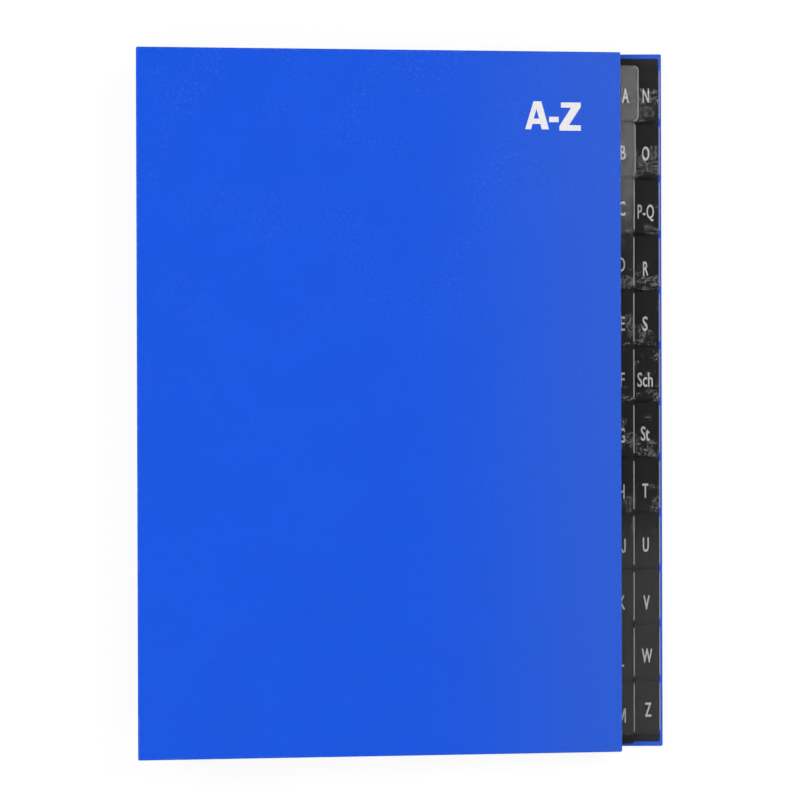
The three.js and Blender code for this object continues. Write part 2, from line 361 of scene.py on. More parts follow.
class Shade:
    """A material under construction: one Principled shader and the nodes that feed it."""

    def __init__(self, name):
        self.material = bpy.data.materials.new(name)
        self.material.use_nodes = True
        self.tree = self.material.node_tree
        self.tree.nodes.clear()
        self.shader = self.node("ShaderNodeBsdfPrincipled")
        output = self.node("ShaderNodeOutputMaterial")
        self.tree.links.new(self.shader.outputs["BSDF"], output.inputs["Surface"])
        self.place = self.node("ShaderNodeTexCoord").outputs["Object"]

    def node(self, kind, **settings):
        made = self.tree.nodes.new(kind)
        for key, value in settings.items():
            setattr(made, key, value)
        return made

    def feed(self, socket, value):
        """Links an output to a socket, or sets the socket to a plain value."""
        if isinstance(value, bpy.types.NodeSocket):
            self.tree.links.new(value, socket)
        elif hasattr(value, "__len__") and len(value) == 3 and len(socket.default_value) == 4:
            socket.default_value = (*value, 1)
        else:
            socket.default_value = value

    def set(self, **sockets):
        """Sets the shader's own sockets. Underscores stand for spaces in their names."""
        for name, value in sockets.items():
            self.feed(self.shader.inputs[name.replace("_", " ")], value)

    def math(self, operation, *operands):
        made = self.node("ShaderNodeMath", operation=operation)
        for socket, value in zip(made.inputs, operands):
            self.feed(socket, value)
        return made.outputs[0]

    def ramp(self, value, low, high, to_low=0.0, to_high=1.0):
        """Value from low to high becomes to_low to to_high, smoothly, and stays there."""
        made = self.node("ShaderNodeMapRange", interpolation_type="SMOOTHSTEP")
        self.feed(made.inputs["Value"], value)
        for name, number in (
            ("From Min", low),
            ("From Max", high),
            ("To Min", to_low),
            ("To Max", to_high),
        ):
            self.feed(made.inputs[name], number)
        return made.outputs["Result"]

    def clouds(self, size, detail=2.0, vector=None, roughness=0.5):
        """Soft noise, 0 to 1, of the given feature size in metres."""
        made = self.node("ShaderNodeTexNoise")
        self.feed(made.inputs["Vector"], vector or self.place)
        self.feed(made.inputs["Scale"], 1 / size)
        self.feed(made.inputs["Detail"], detail)
        self.feed(made.inputs["Roughness"], roughness)
        return made.outputs["Fac"]

    def cells(self, size, vector):
        """The distance to the nearest edge of cells of the given size in metres."""
        made = self.node("ShaderNodeTexVoronoi", feature="DISTANCE_TO_EDGE")
        self.feed(made.inputs["Vector"], vector)
        self.feed(made.inputs["Scale"], 1 / size)
        return made.outputs["Distance"]

    def along(self, axis):
        """The place along one axis, in metres."""
        split = self.node("ShaderNodeSeparateXYZ")
        self.feed(split.inputs[0], self.place)
        return split.outputs[axis]

    def shifted(self, size, amount):
        """Coordinates pushed about by noise, so that a pattern isn't regular."""
        drift = self.node("ShaderNodeTexNoise")
        self.feed(drift.inputs["Vector"], self.place)
        self.feed(drift.inputs["Scale"], 1 / size)
        centred = self.node("ShaderNodeVectorMath", operation="SUBTRACT")
        self.feed(centred.inputs[0], drift.outputs["Color"])
        self.feed(centred.inputs[1], (0.5, 0.5, 0.5))
        moved = self.node("ShaderNodeVectorMath", operation="MULTIPLY_ADD")
        self.feed(moved.inputs[0], centred.outputs[0])
        self.feed(moved.inputs[1], (amount, amount, amount))
        self.feed(moved.inputs[2], self.place)
        return moved.outputs[0]

    def mix(self, factor, first, second):
        made = self.node("ShaderNodeMix", data_type="RGBA")
        self.feed(made.inputs["Factor"], factor)
        self.feed(made.inputs[6], first)
        self.feed(made.inputs[7], second)
        return made.outputs[2]

    def bump(self, height, depth, under=None):
        """Raises the surface by up to depth metres. Under is a coarser bump beneath it."""
        made = self.node("ShaderNodeBump")
        self.feed(made.inputs["Height"], height)
        self.feed(made.inputs["Distance"], depth)
        if under:
            self.feed(made.inputs["Normal"], under)
        return made.outputs["Normal"]


def tinted(base, factor):
    """A colour made lighter or darker."""
    return tuple(min(1.0, channel * factor) for channel in base)


def leather_grain(shade, grain):
    """Pressed leather grain: soft pebbles with creases between them, and fine pores."""
    pebbles = shade.ramp(shade.cells(grain, shade.shifted(3 * grain, 1.4 * grain)), 0, 0.3)
    creases = shade.clouds(2.2 * grain, 3.0, roughness=0.65)
    height = shade.math("MULTIPLY_ADD", creases, 0.8, pebbles)
    pores = shade.clouds(0.3 * grain, 1.0)
    coarse = shade.bump(height, 0.035 * grain)
    return shade.bump(pores, 0.012 * grain, under=coarse)


def covering_paper(settings):
    """Blue paper pressed with a leather grain. It is painted lighter and greyer towards the
    fore edge, a painted sheen of the light it reflects there, rubbed along its folded edges,
    and painted with pale glints in the grain near the head, where the grain catches light."""
    shade = Shade("covering_paper")
    blue = settings.covering
    patches = shade.ramp(shade.clouds(28 * MM, 2.0), 0.35, 0.65)
    ground = shade.mix(patches, tinted(blue, 0.985), tinted(blue, 1.012))
    # painted sheen: a lighter, greyer blue towards the fore edge stands in for the key light's
    # reflection there
    painted_sheen = shade.ramp(shade.along("X"), 0, 115 * MM, 0.0, 0.85)
    ground = shade.mix(painted_sheen, ground, from_screen(42, 94, 216))
    # painted highlight: the grain's creases are painted paler in patches near the head, standing
    # in for glints of light in the grain
    creases = shade.ramp(shade.clouds(1.5 * MM, 3.0, roughness=0.6), 0.52, 0.66)
    glint_patches = shade.ramp(shade.clouds(34 * MM, 2.0), 0.44, 0.62)
    near_head = shade.ramp(shade.along("Y"), -60 * MM, 130 * MM, 0.05, 0.2)
    painted_glint = shade.math("MULTIPLY", shade.math("MULTIPLY", creases, glint_patches), near_head)
    ground = shade.mix(painted_glint, ground, from_screen(72, 118, 236))
    rub = shade.node("ShaderNodeAttribute", attribute_name="edge_rub").outputs["Fac"]
    worn = shade.math("MULTIPLY", rub, shade.ramp(shade.clouds(2.5 * MM), 0.45, 0.7, 0.0, 0.35))
    shade.set(
        Base_Color=shade.mix(worn, ground, from_screen(92, 128, 226)),
        Roughness=shade.ramp(shade.clouds(18 * MM), 0.3, 0.7, 0.44, 0.48),
        Specular_IOR_Level=0.14,
        Normal=leather_grain(shade, settings.grain),
    )
    return shade.material


def lining_paper(settings):
    """Dark uncoated paper with a faint fibre and a light dusting."""
    shade = Shade("lining_paper")
    fibre = shade.clouds(0.5 * MM, 4.0, roughness=0.7)
    broad = shade.clouds(22 * MM, 2.0)
    dark = settings.lining
    tone = shade.math("MULTIPLY_ADD", fibre, 0.6, shade.math("MULTIPLY", broad, 0.4))
    shade.set(
        Base_Color=shade.mix(tone, tinted(dark, 0.7), tinted(dark, 1.35)),
        Roughness=0.86,
        Specular_IOR_Level=0.2,
        Normal=shade.bump(fibre, 0.03 * MM),
    )
    return shade.material


def woven_cloth(name, base, thread):
    """Plain weave on the cloth's own UV map, whose units are metres along the cloth."""
    shade = Shade(name)
    uv = shade.node("ShaderNodeUVMap", uv_map="cloth").outputs["UV"]
    split = shade.node("ShaderNodeSeparateXYZ")
    shade.feed(split.inputs[0], uv)
    turn = math.pi / thread
    across = shade.math("SINE", shade.math("MULTIPLY", split.outputs["X"], turn))
    along = shade.math("SINE", shade.math("MULTIPLY", split.outputs["Y"], turn))
    warp = shade.math("ABSOLUTE", across)
    weft = shade.math("ABSOLUTE", along)
    over = shade.ramp(shade.math("MULTIPLY", across, along), -0.15, 0.15)
    difference = shade.math("SUBTRACT", warp, weft)
    height = shade.math("MULTIPLY_ADD", over, difference, weft)
    slub = shade.clouds(1.6 * MM, 3.0)
    # painted shade: the threads are painted darker towards their edges and where they pass under
    # each other, following the weave's height; the slub varies the tone at random
    tone = shade.math("MULTIPLY", height, shade.ramp(slub, 0.3, 0.7, 0.75, 1.0))
    shade.set(
        Base_Color=shade.mix(tone, tinted(base, 0.62), tinted(base, 1.12)),
        Roughness=0.82,
        Specular_IOR_Level=0.25,
        Sheen_Weight=0.12,
        Sheen_Roughness=0.4,
        Normal=shade.bump(height, 0.09 * MM),
    )
    return shade.material


def divider_card(settings):
    """Black card with a faint fibre and a few paler flecks."""
    shade = Shade("divider_card")
    fibre = shade.clouds(0.45 * MM, 4.0, roughness=0.7)
    flecks = shade.ramp(shade.clouds(0.9 * MM, 1.0), 0.68, 0.78, 0.0, 0.35)
    black = settings.card
    ground = shade.mix(fibre, tinted(black, 0.75), tinted(black, 1.3))
    shade.set(
        Base_Color=shade.mix(flecks, ground, tinted(black, 2.4)),
        Roughness=shade.ramp(fibre, 0.2, 0.8, 0.55, 0.7),
        Specular_IOR_Level=0.2,
        Normal=shade.bump(fibre, 0.02 * MM),
    )
    return shade.material


def film_window(settings):
    """Glossy film over a tab, with the small blisters of a hand-fed laminator. They are
    mostly in the lower part of each tab, and in the half of the file nearer the head. The
    blisters are painted pale, partly the milky haze of lifted film, partly painted glints."""
    shade = Shade("tab_film")
    row = shade.math("FRACT", shade.math("DIVIDE", shade.along("Y"), settings.tab_height))
    lower_part = shade.ramp(row, 0.1, 0.65, 0.08, -0.05)
    cloudy = shade.math("ADD", shade.clouds(11 * MM, 2.0), lower_part)
    near_head = shade.ramp(shade.along("Y"), -90 * MM, -30 * MM)
    where = shade.math("MULTIPLY", shade.ramp(cloudy, 0.51, 0.62), near_head)
    crinkle = shade.clouds(1.1 * MM, 2.0, shade.shifted(2 * MM, 0.8 * MM), 0.6)
    blisters_painted_pale = shade.math("MULTIPLY", shade.ramp(crinkle, 0.48, 0.6), where)
    waves = shade.bump(shade.clouds(8 * MM, 1.0), 0.04 * MM)
    # the blisters are painted pale: partly the haze of lifted film, partly painted glints of the
    # key light on their slopes
    shade.set(
        Base_Color=shade.mix(blisters_painted_pale, from_screen(14, 14, 15), from_screen(196, 196, 200)),
        Roughness=0.1,
        Specular_IOR_Level=1.0,
        Alpha=settings.film_haze,
        Normal=shade.bump(blisters_painted_pale, 0.04 * MM, under=waves),
    )
    return shade.material


def film_seal(settings):
    """The milky rim where the film is sealed to itself."""
    shade = Shade("tab_seal")
    uneven = shade.clouds(1.2 * MM, 2.0)
    pale = settings.seal
    shade.set(
        Base_Color=shade.mix(uneven, tinted(pale, 0.8), tinted(pale, 1.15)),
        Roughness=0.3,
        Specular_IOR_Level=0.5,
        Alpha=0.34,
        Normal=shade.bump(uneven, 0.02 * MM),
    )
    return shade.material


def index_ink(settings):
    """Pale index lettering, printed a little unevenly on the card."""
    shade = Shade("index_ink")
    speckle = shade.clouds(0.5 * MM, 3.0, roughness=0.7)
    pale = tuple(settings.ink)
    shade.set(
        Base_Color=shade.mix(shade.ramp(speckle, 0.3, 0.75), pale, tinted(pale, 0.8)),
        Roughness=0.5,
        Specular_IOR_Level=0.3,
        Normal=shade.bump(speckle, 0.01 * MM),
    )
    return shade.material


def cover_print(settings):
    """White foil print, thin enough for the leather grain to show through it."""
    shade = Shade("cover_print")
    thin = shade.clouds(1.1 * MM, 3.0, roughness=0.6)
    white = tuple(settings.print)
    shade.set(
        Base_Color=shade.mix(shade.ramp(thin, 0.35, 0.75), white, tinted(white, 0.9)),
        Roughness=0.5,
        Specular_IOR_Level=0.3,
        Normal=leather_grain(shade, settings.grain),
    )
    return shade.material


def shared(name, make, *arguments):
    """The material of that name, made when it is first asked for."""
    return bpy.data.materials.get(name) or make(*arguments)


# Covered boards and their linings


# Between the rubbed folds and the rest, and along the slope of the turn-in's cut edge
RUBBED_MARGIN = 0.8 * MM
CUT_EDGE_RUN = 0.15 * MM
# The lining starts this far from the spine edge, and stops this far from the others
LINING_START = 14.3 * MM
LINING_FORE_MARGIN = 1.5 * MM
LINING_END_MARGIN = 2.3 * MM
LINING_OUTSIDE, LINING_INSIDE = -0.2 * MM, -0.05 * MM
LINING_BEND = 0.7 * MM


def covered_board(name, node, body, width, place, settings):
    """A board wrapped in paper, with rounded edges and the paper turned in round its inner
    face. In its own frame the inner face is at Z 0 and looks down."""
    half = settings.height / 2
    bm = box_mesh((0, -half, 0), (width, half, settings.thickness))
    round_edges(bm, upright_edges(bm), settings.corner_radius, 4)
    outer, inner = flat_face(bm, UP), flat_face(bm, -UP)
    rims = [edge for face in (outer, inner) for edge in face.edges]
    round_edges(bm, rims, settings.edge_rounding, 4)
    rub = bm.verts.layers.float.new("edge_rub")
    for vert in bm.verts:
        vert[rub] = 1.0
    for direction in (UP, -UP):
        for vert in inset_square(bm, direction, RUBBED_MARGIN).verts:
            vert[rub] = 0.0
    # the turned-in paper ends in a cut edge, inside which the board lies lower
    inner = flat_face(bm, -UP)
    inset(bm, inner, settings.turn_in)
    inset(bm, inner, CUT_EDGE_RUN)
    bmesh.ops.translate(bm, vec=UP * settings.turn_in_step, verts=inner.verts)
    bmesh.ops.transform(bm, matrix=place, verts=bm.verts)
    piece = new_piece(name, bm, [shared("covering_paper", covering_paper, settings)])
    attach(piece, body)
    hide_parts(node)


def lining_sheet(name, node, body, width, place, settings):
    """Lining paper pasted over the turned-in covering, whose cut edge shows through it."""
    end = width - LINING_FORE_MARGIN
    half = settings.height / 2 - LINING_END_MARGIN
    bm = box_mesh((LINING_START, -half, LINING_OUTSIDE), (end, half, LINING_INSIDE))
    round_edges(bm, upright_edges(bm), 0.8 * MM, 3)
    face = flat_face(bm, -UP)
    round_edges(bm, list(face.edges), 0.05 * MM, 2)
    square_from = 1 * MM
    face = inset_square(bm, -UP, square_from)
    inset(bm, face, settings.turn_in - LINING_END_MARGIN - square_from)
    inset(bm, face, LINING_BEND)
    bmesh.ops.translate(bm, vec=UP * settings.turn_in_step, verts=face.verts)
    bmesh.ops.transform(bm, matrix=place, verts=bm.verts)
    piece = new_piece(name, bm, [shared("lining_paper", lining_paper, settings)])
    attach(piece, body)
    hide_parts(node)


# The pleated spine and the cloth hinges


# How far the spine's outer folds wander
FOLD_DRIFT = 0.05 * MM
# The hinges' cloth turns through an arc of this radius, from these distances off the spine
# edge, and through these angles
CURL_RADIUS = 0.45 * MM
FRONT_CURL_START, FRONT_CURL = 0.82 * MM, math.radians(140)
REAR_CURL_START, REAR_CURL = 0.8 * MM, math.radians(150)
# The glue between cloth and cover
GLUE = 0.05 * MM


class ClothLine:
    """A line of cloth seen from its end, which is then drawn out along Y to a sheet. It
    notes how far along the cloth each vertex is, for the weave."""

    def __init__(self, start):
        self.bm = bmesh.new()
        self.run = self.bm.verts.layers.float.new("cloth_run")
        self.last = self.bm.verts.new(start)

    def to(self, point, steps):
        """Straight on to a point."""
        begin = self.last.co.copy()
        for step in range(1, steps + 1):
            made = bmesh.ops.extrude_vert_indiv(self.bm, verts=[self.last])["verts"][0]
            made.co = begin.lerp(Vector(point), step / steps)
            made[self.run] = self.last[self.run] + (made.co - self.last.co).length
            self.last = made

    def round(self, centre, angle, steps):
        """Along an arc about a line parallel to Y."""
        for _ in range(steps):
            before = self.last
            made = bmesh.ops.spin(
                self.bm,
                geom=[before],
                cent=centre,
                axis=ALONG_Y,
                dvec=(0, 0, 0),
                angle=angle / steps,
                steps=1,
                use_merge=False,
                use_duplicate=False,
            )["geom_last"]
            self.last = verts_of(made)[0]
            self.last[self.run] = before[self.run] + (self.last.co - before.co).length

    def draw_out(self, reach, steps):
        """Makes the sheet, from -reach to reach along Y, and its UV map."""
        bm = self.bm
        bmesh.ops.translate(bm, vec=-ALONG_Y * reach, verts=bm.verts)
        front = list(bm.edges)
        for _ in range(steps):
            made = bmesh.ops.extrude_edge_only(bm, edges=front)["geom"]
            verts = verts_of(made)
            bmesh.ops.translate(bm, vec=ALONG_Y * (2 * reach / steps), verts=verts)
            known = set(verts)
            front = [
                part
                for part in made
                if isinstance(part, bmesh.types.BMEdge) and known.issuperset(part.verts)
            ]
        bmesh.ops.recalc_face_normals(bm, faces=bm.faces)
        uv = bm.loops.layers.uv.new("cloth")
        for face in bm.faces:
            for loop in face.loops:
                loop[uv].uv = (loop.vert[self.run], loop.vert.co.y)
        return bm


def cloth_piece(name, bm, settings):
    """A finished piece of cloth, its thickness half to each side of the sheet."""
    weave = shared("spine_cloth", woven_cloth, "spine_cloth", settings.cloth, settings.thread)
    piece = new_piece(name, bm, [weave], 70)
    modifier = piece.modifiers.new("thickness", "SOLIDIFY")
    modifier.thickness = settings.cloth_thickness
    modifier.offset = 0
    return piece


def pleated_spine(settings, cover_height):
    """One strip of cloth that goes round the bound edge of each card and folds in between
    one card and the next."""
    bend = RIDGE_HALF - settings.cloth_thickness / 2
    depth = settings.pleat_depth

    def beside_card(order, inward, out):
        leaf, _ = leaf_matrix(order)
        return leaf @ Vector((inward, 0, out))

    line = ClothLine(beside_card(0, depth, bend))
    for order in range(CARDS):
        line.to(beside_card(order, RIDGE_HALF, bend), 3)
        line.round(beside_card(order, RIDGE_HALF, 0), -math.pi, 8)
        wall_end = beside_card(order, depth, -bend)
        line.to(wall_end, 3)
        if order + 1 < CARDS:
            following = beside_card(order + 1, depth, bend)
            line.round((wall_end + following) / 2, math.pi, 6)
    bm = line.draw_out(cover_height / 2 - settings.end_margin, 44)
    # cloth is never quite straight: its outer folds wander a few hundredths
    for vert in bm.verts:
        outermost = max(0.0, 1 - (vert.co.x - SPINE_X) / (3 * MM))
        drift = noise.noise(Vector((vert.co.y * 45, vert.co.z * 300, 3.7)))
        vert.co.x += FOLD_DRIFT * outermost * drift
    piece = cloth_piece("spine_cloth", bm, settings)
    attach(piece, "leaf_block")
    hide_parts("spine_bellows")


def front_hinge(settings, cover_height):
    """Cloth glued inside the front cover, which turns down at its spine edge to meet the
    top ridge of the spine."""
    up = (FRONT_MATRIX.to_3x3() @ UP).normalized()
    glued = -GLUE - settings.cloth_thickness / 2
    line = ClothLine(FRONT_MATRIX @ Vector((settings.strip_width, -FRONT_MIDDLE_Y, glued)))
    line.to(FRONT_MATRIX @ Vector((FRONT_CURL_START, -FRONT_MIDDLE_Y, glued)), 5)
    line.round(line.last.co - up * CURL_RADIUS, -FRONT_CURL, 12)
    bm = line.draw_out(cover_height / 2 - settings.end_margin, 24)
    bmesh.ops.translate(bm, vec=ALONG_Y * FRONT_MIDDLE_Y, verts=bm.verts)
    piece = cloth_piece("front_hinge_cloth", bm, settings)
    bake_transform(piece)
    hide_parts("front_hinge_strip")


def rear_hinge(settings, cover_height):
    """Cloth glued inside the rear cover, which turns up at its spine edge to meet the
    lowest ridge of the spine."""
    glued = JOINT_PLACE["rear_cover_hinge"].z + GLUE + settings.cloth_thickness / 2
    line = ClothLine((SPINE_X + settings.strip_width, 0, glued))
    line.to((SPINE_X + REAR_CURL_START, 0, glued), 5)
    line.round(line.last.co + UP * CURL_RADIUS, REAR_CURL, 12)
    bm = line.draw_out(cover_height / 2 - settings.end_margin, 24)
    bmesh.ops.translate(bm, vec=ALONG_Y * REAR_MIDDLE_Y, verts=bm.verts)
    piece = cloth_piece("rear_hinge_cloth", bm, settings)
    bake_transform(piece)
    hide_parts("rear_hinge_strip")


# Tab films and index letters


# Between the film and the card in it, and between a film and the edge of its row
FILM_CLEARANCE = 0.02 * MM
ROW_MARGIN = 0.05 * MM
FILM_CORNER, CARD_CORNER = 2.45 * MM, 2 * MM
# Half the thickness of the two films sealed together
SEAL_HALF = 0.06 * MM
# The film comes down from the card to the seal over this run, which ends this far past it
FILM_STEP_RUN, FILM_STEP_END = 0.2 * MM, 0.32 * MM
# The seal shows pale from here on, past the end of the card, and on the top tab from
# further in, so that its corners are pale too
PALE_FROM, TOP_TAB_PALE_FROM = 0.45 * MM, -1.6 * MM


def tab_film(order, settings):
    """A pocket of film over one tab, its two faces sealed to each other past the card."""
    root, end, lower, upper = tab_place(order, settings)
    thickness = settings.film_thickness
    start = root + FILM_CLEARANCE
    far = end + settings.seal_width
    lower, upper = lower + ROW_MARGIN, upper - ROW_MARGIN
    # the outline is drawn longer than the film, and its seal is cut off again at the root
    spare = 1.5 * MM
    high = settings.card_thickness / 2 + FILM_CLEARANCE + thickness
    pale_from = end + (TOP_TAB_PALE_FROM if order == 0 else PALE_FROM)
    # the upper face: its outline, the seal, the step up to the card and the window over it
    bm = bmesh.new()
    bmesh.ops.create_grid(bm, x_segments=1, y_segments=1, size=0.5)
    bmesh.ops.scale(bm, vec=(far - start + spare, upper - lower, 1), verts=bm.verts)
    middle = Vector(((far + start - spare) / 2, (lower + upper) / 2, 0))
    bmesh.ops.translate(bm, vec=middle, verts=bm.verts)
    bmesh.ops.bevel(
        bm,
        geom=[vert for vert in bm.verts if vert.co.x > start],
        offset=FILM_CORNER,
        offset_type="OFFSET",
        segments=6,
        profile=0.5,
        affect="VERTICES",
        material=-1,
    )
    bm.faces.ensure_lookup_table()
    window = bm.faces[0]
    for face in inset(bm, window, settings.seal_width - FILM_STEP_END):
        face.material_index = 1 if face.calc_center_median().x > pale_from else 0
    inset(bm, window, FILM_STEP_RUN)
    bmesh.ops.translate(bm, vec=UP * SEAL_HALF, verts=bm.verts)
    bmesh.ops.translate(bm, vec=UP * (high - SEAL_HALF), verts=window.verts)
    bmesh.ops.bisect_plane(
        bm,
        geom=[*bm.verts, *bm.edges, *bm.faces],
        plane_co=(start, 0, 0),
        plane_no=(-1, 0, 0),
        clear_outer=True,
    )
    # the lower face is its mirror image, and the rim joins them
    copied = bmesh.ops.duplicate(bm, geom=[*bm.verts, *bm.edges, *bm.faces])["geom"]
    bmesh.ops.scale(bm, vec=(1, 1, -1), verts=verts_of(copied))
    rim = [edge for edge in bm.edges if edge.is_boundary]
    for face in bmesh.ops.bridge_loops(bm, edges=rim)["faces"]:
        face.material_index = 1 if face.calc_center_median().x > pale_from else 0
    bmesh.ops.recalc_face_normals(bm, faces=bm.faces)
    # the pocket that the tab lies in
    mouth = flat_face(bm, (-1, 0, 0))
    inset(bm, mouth, thickness)
    pocket = bmesh.ops.extrude_face_region(bm, geom=[mouth])["geom"]
    if mouth.is_valid:
        bmesh.ops.delete(bm, geom=[mouth], context="FACES_ONLY")
    floor = verts_of(pocket)
    bmesh.ops.translate(bm, vec=(end + FILM_CLEARANCE - start, 0, 0), verts=floor)
    deep = [edge for edge in upright_edges(bm) if all(vert in floor for vert in edge.verts)]
    round_edges(bm, deep, CARD_CORNER, 5)
    leaf, _ = leaf_matrix(order)
    bmesh.ops.transform(bm, matrix=leaf, verts=bm.verts)
    return bm


def mesh_from_outline(holder):
    """The filled outline of a curve object as a bmesh. The object is removed."""
    bpy.context.view_layer.update()
    depsgraph = bpy.context.evaluated_depsgraph_get()
    mesh = bpy.data.meshes.new_from_object(holder.evaluated_get(depsgraph))
    bpy.data.objects.remove(holder)
    bm = bmesh.new()
    bm.from_mesh(mesh)
    bpy.data.meshes.remove(mesh)
    bmesh.ops.remove_doubles(bm, verts=bm.verts, dist=1e-7)
    bmesh.ops.dissolve_degenerate(bm, edges=bm.edges, dist=1e-7)
    bmesh.ops.recalc_face_normals(bm, faces=bm.faces)
    return bm


def flat_lettering(body, height, width, growth, thickness):
    """Lettering as a thin solid mesh about its own middle, narrowed and then thickened
    so that upright and level strokes are of one width."""
    text = bpy.data.curves.new("lettering", "FONT")
    text.body = body
    text.size = height / FONT_CAPITAL
    text.align_x = "CENTER"
    text.space_character = 1.12 if "-" in body else 1.0
    text.resolution_u = 3
    holder = link_object("lettering", text)
    for other in bpy.context.selected_objects:
        other.select_set(False)
    holder.select_set(True)
    bpy.context.view_layer.objects.active = holder
    bpy.ops.object.convert(target="CURVE")
    outline = holder.data
    outline.transform(Matrix.Diagonal((width, 1, 1, 1)))
    outline.offset = growth
    outline.extrude = thickness / 2
    return mesh_from_outline(holder)


def cut_shapes(shapes, unit, thickness):
    """A thin solid from closed outlines, whose points are in the given unit of length. An
    outline inside another is a hole."""
    outline = bpy.data.curves.new("shapes", "CURVE")
    outline.dimensions = "2D"
    outline.fill_mode = "BOTH"
    outline.extrude = thickness / 2
    for shape in shapes:
        spline = outline.splines.new("POLY")
        spline.points.add(len(shape) - 1)
        for point, (x, y) in zip(spline.points, shape):
            point.co = (x * unit, y * unit, 0, 1)
        spline.use_cyclic_u = True
    return mesh_from_outline(link_object("shapes", outline))


def index_letter(order, name, settings):
    """A card's index letters, printed on both faces of its tab under the film."""
    _, end, _, upper = tab_place(order, settings)
    height = settings.letter_height
    if name in DRAWN_LETTERS:
        bm = cut_shapes(DRAWN_LETTERS[name], height, INK_THICKNESS)
    else:
        height -= 2 * STROKE_GROWTH
        width = WIDE_LETTERS.get(name, LETTER_WIDTH)
        bm = flat_lettering(name, height, width, STROKE_GROWTH, INK_THICKNESS)
    column, row = divmod(order, TAB_ROWS)
    lift = settings.card_thickness / 2 + 0.8 * INK_THICKNESS
    middle = upper - LETTER_DROP[column][row] * MM
    place = Vector((end - LETTER_INWARD[column][row] * MM, middle - height / 2, lift))
    copied = bmesh.ops.duplicate(bm, geom=[*bm.verts, *bm.edges, *bm.faces])["geom"]
    back = verts_of(copied)
    turn_over = Matrix.Rotation(math.pi, 4, "Y")
    bmesh.ops.transform(bm, matrix=turn_over, verts=back)
    front = list(set(bm.verts) - set(back))
    bmesh.ops.translate(bm, vec=place, verts=front)
    bmesh.ops.translate(bm, vec=(place.x, place.y, -place.z), verts=back)
    leaf, _ = leaf_matrix(order)
    bmesh.ops.transform(bm, matrix=leaf, verts=bm.verts)
    return bm


# The print on the front cover, in millimetres from the cover's spine edge and middle
TITLE_SHAPES = [
    [(187.1, 132.15), (191.2, 145.7), (195.0, 145.7), (198.75, 132.15)]
    + [(195.2, 132.15), (194.55, 134.75), (190.65, 134.75), (190.0, 132.15)],
    [(191.25, 137.35), (193.95, 137.35), (192.62, 142.0)],
    [(198.8, 135.7), (198.8, 138.3), (203.5, 138.3), (203.5, 135.7)],
    [(203.85, 131.6), (203.85, 133.8), (209.6, 142.75), (204.6, 142.75), (204.6, 145.25)]
    + [(214.35, 145.25), (214.35, 143.1), (208.55, 134.3), (214.35, 134.3), (214.35, 131.6)],
]


# Stage


def seen_directly(tree):
    """1 for what the camera sees, itself or in a mirror or through glass, and else 0."""
    path = tree.nodes.new("ShaderNodeLightPath")
    total = path.outputs["Is Camera Ray"]
    for name in ("Is Glossy Ray", "Is Transmission Ray"):
        larger = tree.nodes.new("ShaderNodeMath")
        larger.operation = "MAXIMUM"
        tree.links.new(total, larger.inputs[0])
        tree.links.new(path.outputs[name], larger.inputs[1])
        total = larger.outputs[0]
    return total


def stage_surface(name, bm):
    """Makes a piece of the stage that lights its surroundings as pale paper would. Returns
    it, its node tree and the socket for what the camera sees of it."""
    mesh = bpy.data.meshes.new(name)
    bm.to_mesh(mesh)
    bm.free()
    material = bpy.data.materials.new(name)
    material.use_nodes = True
    tree = material.node_tree
    tree.nodes.clear()
    output = tree.nodes.new("ShaderNodeOutputMaterial")
    plain = tree.nodes.new("ShaderNodeBsdfDiffuse")
    plain.inputs["Color"].default_value = (0.8, 0.8, 0.8, 1)
    choose = tree.nodes.new("ShaderNodeMixShader")
    tree.links.new(seen_directly(tree), choose.inputs["Fac"])
    tree.links.new(plain.outputs[0], choose.inputs[1])
    tree.links.new(choose.outputs[0], output.inputs["Surface"])
    mesh.materials.append(material)
    return link_object(name, mesh), tree, choose.inputs[2]


def pale_floor():
    """A pale floor that shows white, brighter further out, and keeps a soft shadow."""
    bm = bmesh.new()
    bmesh.ops.create_grid(bm, x_segments=1, y_segments=1, size=8)
    floor, tree, seen = stage_surface("floor", bm)
    floor.location.z = -0.02 * MM
    shadowed = tree.nodes.new("ShaderNodeBsdfDiffuse")
    shadowed.inputs["Color"].default_value = (0.15, 0.15, 0.15, 1)
    white = tree.nodes.new("ShaderNodeEmission")
    place = tree.nodes.new("ShaderNodeTexCoord")
    distance = tree.nodes.new("ShaderNodeVectorMath")
    distance.operation = "LENGTH"
    spread = tree.nodes.new("ShaderNodeMapRange")
    spread.inputs["From Min"].default_value = 0.3
    spread.inputs["From Max"].default_value = 1.2
    spread.inputs["To Min"].default_value = 0.88
    spread.inputs["To Max"].default_value = 1.05
    total = tree.nodes.new("ShaderNodeAddShader")
    tree.links.new(place.outputs["Object"], distance.inputs[0])
    tree.links.new(distance.outputs["Value"], spread.inputs["Value"])
    tree.links.new(spread.outputs["Result"], white.inputs["Strength"])
    tree.links.new(shadowed.outputs[0], total.inputs[0])
    tree.links.new(white.outputs[0], total.inputs[1])
    tree.links.new(total.outputs[0], seen)


def pale_backdrop():
    """A low round wall that shows white beyond the floor. It is open above."""
    bm = bmesh.new()
    bmesh.ops.create_circle(bm, segments=96, radius=7.5)
    wall = bmesh.ops.extrude_edge_only(bm, edges=bm.edges)["geom"]
    bmesh.ops.translate(bm, vec=UP * 5, verts=verts_of(wall))
    backdrop, tree, seen = stage_surface("backdrop", bm)
    white = tree.nodes.new("ShaderNodeEmission")
    tree.links.new(white.outputs[0], seen)


def even_surroundings(ambient):
    """Even, weak light from all round."""
    world = bpy.data.worlds.new("surroundings")
    world.use_nodes = True
    background = world.node_tree.nodes["Background"]
    background.inputs["Color"].default_value = (1, 1, 1, 1)
    background.inputs["Strength"].default_value = ambient
    bpy.context.scene.world = world


